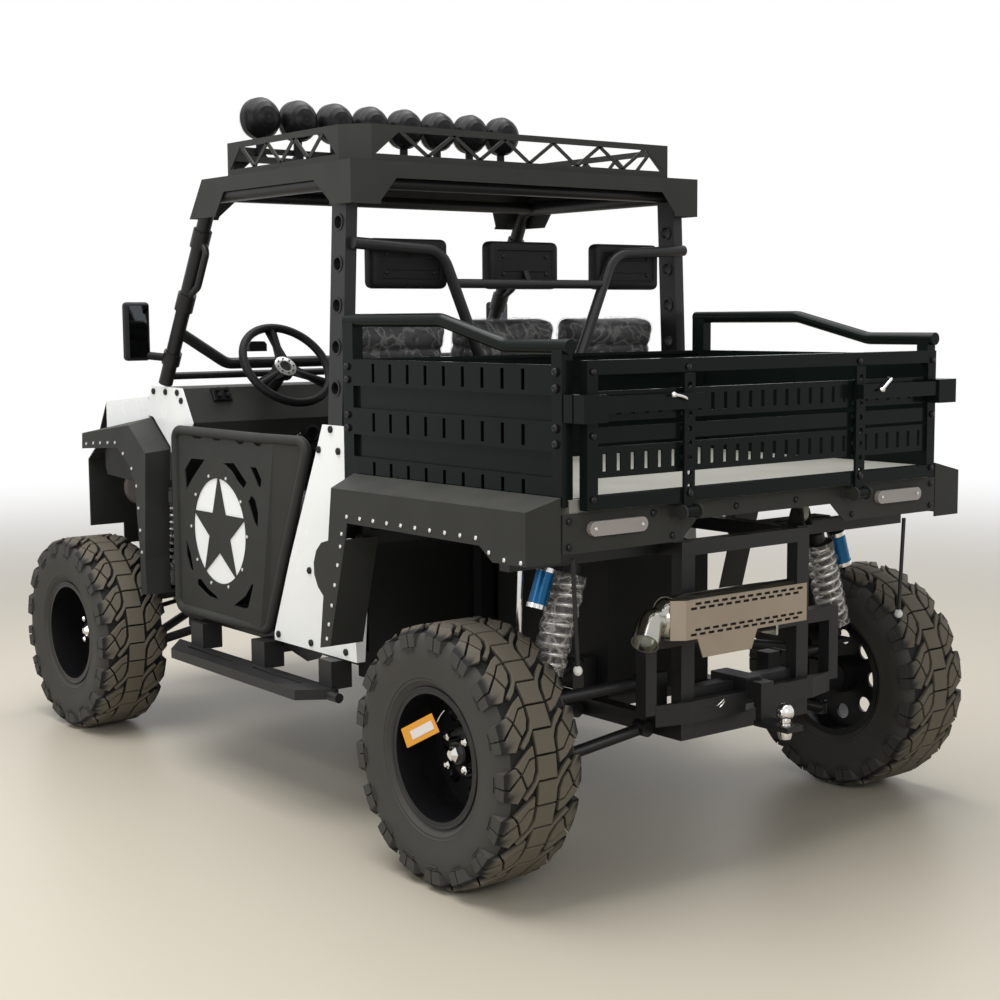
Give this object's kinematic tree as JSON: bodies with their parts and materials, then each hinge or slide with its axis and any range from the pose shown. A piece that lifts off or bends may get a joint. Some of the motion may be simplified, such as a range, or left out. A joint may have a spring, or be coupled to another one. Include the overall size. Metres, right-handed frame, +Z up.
{
  "type": "side by side utility vehicle",
  "caption": "Side by side utility vehicle with an open cab under a hard roof with a lamp rack, star-marked doors, a tipping load bed with a drop tailgate and lugged tyres.",
  "frame": {"origin": "on the ground, halfway between the axles, on the centre line", "axes": "+X to the vehicle's left, +Y to its rear, +Z up"},
  "size_m": [1.845, 3.25, 2.2569],
  "materials": {
    "frame_black": "satin black powder coat",
    "cage_black": "satin black powder coat",
    "panel_black": "matt fine-textured black powder coat",
    "bed_black": "gloss black paint",
    "bed_grey": "matt pale grey floor",
    "panel_white": "gloss white paint",
    "tyre_rubber": "new rubber, slightly dusty",
    "rim_black": "satin black",
    "seat_cover": "black vinyl under clear film",
    "moulded_black": "moulded black",
    "lamp_black": "gloss black bowl",
    "lamp_glass": "clear lens",
    "polished_steel": "polished",
    "shield_steel": "satin stainless",
    "engine_black": "black",
    "spring_silver": "silver"
  },
  "bodies": {
    "chassis": {"lower_frame": "frame_black", "frame_posts": "frame_black", "upper_frame": "frame_black", "sills": "frame_black", "cab_floor": "frame_black", "rear_pillars": "cage_black", "roll_cage": "cage_black", "rear_braces": "cage_black", "rear_bulkhead": "frame_black", "roof": "panel_black", "roof_rack": "panel_black", "roof_lamps": "lamp_black", "side_panels": "panel_white", "hood": "panel_white", "dashboard": "panel_black", "front_fenders": "panel_black", "rear_fenders": "panel_black", "nose": "panel_black", "headlamps": "lamp_glass", "front_bumper": "cage_black", "seat_cushions": "seat_cover", "seat_backs": "seat_cover", "headrests": "moulded_black", "steering_gear": "frame_black", "side_steps": "frame_black", "mirrors": "moulded_black", "muffler": "polished_steel", "heat_shield": "shield_steel", "tow_hitch": "frame_black", "ball_mount": "polished_steel", "engine_block": "engine_black", "suspension_arms": "frame_black", "shocks": "spring_silver", "rear_knuckles": "frame_black"},
    "steering_wheel": {"steering_wheel": "moulded_black"},
    "steering_rack": {"steering_rack": "frame_black"},
    "knuckle_left": {"knuckle_left": "frame_black"},
    "knuckle_right": {"knuckle_right": "frame_black"},
    "wheel_fl": {"tyre_fl": "tyre_rubber", "rim_fl": "rim_black"},
    "wheel_fr": {"tyre_fr": "tyre_rubber", "rim_fr": "rim_black"},
    "wheel_rl": {"tyre_rl": "tyre_rubber", "rim_rl": "rim_black"},
    "wheel_rr": {"tyre_rr": "tyre_rubber", "rim_rr": "rim_black"},
    "door_left": {"door_left": "panel_black", "door_disc_left": "panel_white"},
    "door_right": {"door_right": "panel_black", "door_disc_right": "panel_white"},
    "bed": {"bed_floor": "bed_grey", "bed_walls": "bed_black", "tail_plate": "panel_black", "marker_lamps": "lamp_glass"},
    "tailgate": {"tailgate": "bed_black"}
  },
  "joints": [
    {"name": "steering_turn", "type": "hinge", "parent": "chassis", "child": "steering_wheel", "pos_m": [0.35, -0.464, 1.354], "axis": [0, 0.788, 0.6157], "range_deg": [-252, 252]},
    {"name": "rack_slide", "type": "slide", "parent": "chassis", "child": "steering_rack", "axis": [1, 0, 0], "range_m": [-0.0495, 0.0495]},
    {"name": "knuckle_left_steer", "type": "hinge", "parent": "chassis", "child": "knuckle_left", "pos_m": [0.64, -1.158, 0.3556], "axis": [0, 0, 1], "range_deg": [-28, 28]},
    {"name": "knuckle_right_steer", "type": "hinge", "parent": "chassis", "child": "knuckle_right", "pos_m": [-0.64, -1.158, 0.3556], "axis": [0, 0, 1], "range_deg": [-28, 28]},
    {"name": "wheel_fl_spin", "type": "hinge", "parent": "knuckle_left", "child": "wheel_fl", "pos_m": [0.7925, -1.158, 0.3556], "axis": [1, 0, 0], "continuous": true},
    {"name": "wheel_fr_spin", "type": "hinge", "parent": "knuckle_right", "child": "wheel_fr", "pos_m": [-0.7925, -1.158, 0.3556], "axis": [1, 0, 0], "continuous": true},
    {"name": "wheel_rl_spin", "type": "hinge", "parent": "chassis", "child": "wheel_rl", "pos_m": [0.7925, 1.158, 0.3556], "axis": [1, 0, 0], "continuous": true},
    {"name": "wheel_rr_spin", "type": "hinge", "parent": "chassis", "child": "wheel_rr", "pos_m": [-0.7925, 1.158, 0.3556], "axis": [1, 0, 0], "continuous": true},
    {"name": "door_left_swing", "type": "hinge", "parent": "chassis", "child": "door_left", "pos_m": [0.735, -0.612, 0.76], "axis": [0, 0, -1], "range_deg": [0, 70]},
    {"name": "door_right_swing", "type": "hinge", "parent": "chassis", "child": "door_right", "pos_m": [-0.735, -0.612, 0.76], "axis": [0, 0, 1], "range_deg": [0, 70]},
    {"name": "bed_tilt", "type": "hinge", "parent": "chassis", "child": "bed", "pos_m": [0, 1.4, 0.94], "axis": [-1, 0, 0], "range_deg": [0, 40]},
    {"name": "tailgate_drop", "type": "hinge", "parent": "bed", "child": "tailgate", "pos_m": [0, 1.556, 1.006], "axis": [-1, 0, 0], "range_deg": [0, 90]}
  ],
  "couplings": [
    {"joint": "knuckle_left_steer", "follows": "steering_turn", "ratio": 0.11111},
    {"joint": "knuckle_right_steer", "follows": "steering_turn", "ratio": 0.11111},
    {"joint": "rack_slide", "follows": "steering_turn", "m_per_rad": 0.0112}
  ]
}
